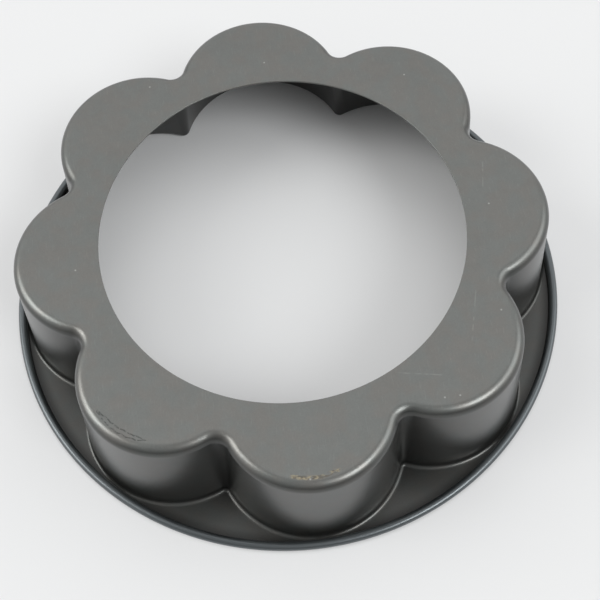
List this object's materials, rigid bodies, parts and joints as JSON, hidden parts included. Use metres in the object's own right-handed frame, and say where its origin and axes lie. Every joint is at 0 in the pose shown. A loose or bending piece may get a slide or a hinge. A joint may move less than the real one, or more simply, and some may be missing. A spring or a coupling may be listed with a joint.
{
  "type": "flower-shaped cake pan",
  "caption": "Flower-shaped cake pan of dark coated steel, lying mouth down: drawn petal wall, flat base with a large round hole, flat flange and a rolled, wired rim.",
  "frame": {"origin": "on the pan's axis, in the plane of the table that the mouth's flange lies on", "axes": "+Z along the pan's axis from the mouth to the base, so the pan lies upside down; +X through the middle of a petal"},
  "size_m": [0.2804, 0.2804, 0.0605],
  "materials": {
    "coated_steel": "satin dark grey non-stick coating on drawn steel sheet, finely speckled, with light scuffs and a trace of baked-on residue",
    "bright_wire": "plain bright-drawn steel wire"
  },
  "bodies": {
    "root": {"pan_shell": "coated_steel", "rim_wire": "bright_wire"}
  },
  "joints": []
}
